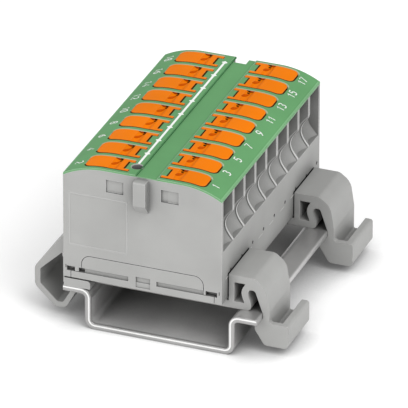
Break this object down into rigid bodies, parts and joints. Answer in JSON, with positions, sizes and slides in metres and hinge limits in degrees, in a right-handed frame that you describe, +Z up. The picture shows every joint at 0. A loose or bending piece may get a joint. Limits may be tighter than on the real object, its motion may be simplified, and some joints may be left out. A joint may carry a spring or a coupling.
{
  "type": "power distribution block",
  "caption": "Push-in power distribution block with a crowned cover, orange release buttons, funnel entries along both sides and clip feet, on a short top-hat rail.",
  "frame": {"origin": "centre of the rail's underside, in the middle of the rail's width and of the block's length", "axes": "+X across the rail towards the latches, +Y along the rail away from the face with the label panel, +Z up from the rail's underside to the cover"},
  "size_m": [0.0459, 0.0487, 0.031],
  "materials": {
    "grey_plastic": "satin",
    "green_plastic": "satin",
    "orange_plastic": "satin",
    "copper_bar": "satin",
    "spring_steel": "satin",
    "rail_steel": "satin"
  },
  "bodies": {
    "block": {"housing": "grey_plastic", "base_insert": "grey_plastic", "cover": "green_plastic", "busbar": "copper_bar", "rail_section": "rail_steel", "foot_front": "grey_plastic", "foot_rear": "grey_plastic", "flexure_front": "grey_plastic", "flexure_rear": "grey_plastic", "clamp_right_1": "spring_steel", "clamp_right_2": "spring_steel", "clamp_right_3": "spring_steel", "clamp_right_4": "spring_steel", "clamp_right_5": "spring_steel", "clamp_right_6": "spring_steel", "clamp_right_7": "spring_steel", "clamp_right_8": "spring_steel", "clamp_right_9": "spring_steel", "clamp_left_1": "spring_steel", "clamp_left_2": "spring_steel", "clamp_left_3": "spring_steel", "clamp_left_4": "spring_steel", "clamp_left_5": "spring_steel", "clamp_left_6": "spring_steel", "clamp_left_7": "spring_steel", "clamp_left_8": "spring_steel", "clamp_left_9": "spring_steel"},
    "latch_front": {"latch_front": "grey_plastic"},
    "latch_rear": {"latch_rear": "grey_plastic"},
    "button_right_1": {"button_right_1": "orange_plastic"},
    "button_right_2": {"button_right_2": "orange_plastic"},
    "button_right_3": {"button_right_3": "orange_plastic"},
    "button_right_4": {"button_right_4": "orange_plastic"},
    "button_right_5": {"button_right_5": "orange_plastic"},
    "button_right_6": {"button_right_6": "orange_plastic"},
    "button_right_7": {"button_right_7": "orange_plastic"},
    "button_right_8": {"button_right_8": "orange_plastic"},
    "button_right_9": {"button_right_9": "orange_plastic"},
    "button_left_1": {"button_left_1": "orange_plastic"},
    "button_left_2": {"button_left_2": "orange_plastic"},
    "button_left_3": {"button_left_3": "orange_plastic"},
    "button_left_4": {"button_left_4": "orange_plastic"},
    "button_left_5": {"button_left_5": "orange_plastic"},
    "button_left_6": {"button_left_6": "orange_plastic"},
    "button_left_7": {"button_left_7": "orange_plastic"},
    "button_left_8": {"button_left_8": "orange_plastic"},
    "button_left_9": {"button_left_9": "orange_plastic"}
  },
  "joints": [
    {"name": "latch_front_hinge", "type": "hinge", "parent": "block", "child": "latch_front", "pos_m": [0.01556, -0.01575, 0.01265], "axis": [0, -1, 0], "range_deg": [0, 14], "stiffness_Nm_per_rad": 0.5, "deforming": ["flexure_front"]},
    {"name": "latch_rear_hinge", "type": "hinge", "parent": "block", "child": "latch_rear", "pos_m": [0.01556, 0.01575, 0.01265], "axis": [0, -1, 0], "range_deg": [0, 14], "stiffness_Nm_per_rad": 0.5, "deforming": ["flexure_rear"]},
    {"name": "press_right_1", "type": "slide", "parent": "block", "child": "button_right_1", "axis": [0, 0, -1], "range_m": [0, 0.0015], "stiffness_N_per_m": 6000, "deforming": ["clamp_right_1"]},
    {"name": "press_right_2", "type": "slide", "parent": "block", "child": "button_right_2", "axis": [0, 0, -1], "range_m": [0, 0.0015], "stiffness_N_per_m": 6000, "deforming": ["clamp_right_2"]},
    {"name": "press_right_3", "type": "slide", "parent": "block", "child": "button_right_3", "axis": [0, 0, -1], "range_m": [0, 0.0015], "stiffness_N_per_m": 6000, "deforming": ["clamp_right_3"]},
    {"name": "press_right_4", "type": "slide", "parent": "block", "child": "button_right_4", "axis": [0, 0, -1], "range_m": [0, 0.0015], "stiffness_N_per_m": 6000, "deforming": ["clamp_right_4"]},
    {"name": "press_right_5", "type": "slide", "parent": "block", "child": "button_right_5", "axis": [0, 0, -1], "range_m": [0, 0.0015], "stiffness_N_per_m": 6000, "deforming": ["clamp_right_5"]},
    {"name": "press_right_6", "type": "slide", "parent": "block", "child": "button_right_6", "axis": [0, 0, -1], "range_m": [0, 0.0015], "stiffness_N_per_m": 6000, "deforming": ["clamp_right_6"]},
    {"name": "press_right_7", "type": "slide", "parent": "block", "child": "button_right_7", "axis": [0, 0, -1], "range_m": [0, 0.0015], "stiffness_N_per_m": 6000, "deforming": ["clamp_right_7"]},
    {"name": "press_right_8", "type": "slide", "parent": "block", "child": "button_right_8", "axis": [0, 0, -1], "range_m": [0, 0.0015], "stiffness_N_per_m": 6000, "deforming": ["clamp_right_8"]},
    {"name": "press_right_9", "type": "slide", "parent": "block", "child": "button_right_9", "axis": [0, 0, -1], "range_m": [0, 0.0015], "stiffness_N_per_m": 6000, "deforming": ["clamp_right_9"]},
    {"name": "press_left_1", "type": "slide", "parent": "block", "child": "button_left_1", "axis": [0, 0, -1], "range_m": [0, 0.0015], "stiffness_N_per_m": 6000, "deforming": ["clamp_left_1"]},
    {"name": "press_left_2", "type": "slide", "parent": "block", "child": "button_left_2", "axis": [0, 0, -1], "range_m": [0, 0.0015], "stiffness_N_per_m": 6000, "deforming": ["clamp_left_2"]},
    {"name": "press_left_3", "type": "slide", "parent": "block", "child": "button_left_3", "axis": [0, 0, -1], "range_m": [0, 0.0015], "stiffness_N_per_m": 6000, "deforming": ["clamp_left_3"]},
    {"name": "press_left_4", "type": "slide", "parent": "block", "child": "button_left_4", "axis": [0, 0, -1], "range_m": [0, 0.0015], "stiffness_N_per_m": 6000, "deforming": ["clamp_left_4"]},
    {"name": "press_left_5", "type": "slide", "parent": "block", "child": "button_left_5", "axis": [0, 0, -1], "range_m": [0, 0.0015], "stiffness_N_per_m": 6000, "deforming": ["clamp_left_5"]},
    {"name": "press_left_6", "type": "slide", "parent": "block", "child": "button_left_6", "axis": [0, 0, -1], "range_m": [0, 0.0015], "stiffness_N_per_m": 6000, "deforming": ["clamp_left_6"]},
    {"name": "press_left_7", "type": "slide", "parent": "block", "child": "button_left_7", "axis": [0, 0, -1], "range_m": [0, 0.0015], "stiffness_N_per_m": 6000, "deforming": ["clamp_left_7"]},
    {"name": "press_left_8", "type": "slide", "parent": "block", "child": "button_left_8", "axis": [0, 0, -1], "range_m": [0, 0.0015], "stiffness_N_per_m": 6000, "deforming": ["clamp_left_8"]},
    {"name": "press_left_9", "type": "slide", "parent": "block", "child": "button_left_9", "axis": [0, 0, -1], "range_m": [0, 0.0015], "stiffness_N_per_m": 6000, "deforming": ["clamp_left_9"]}
  ]
}
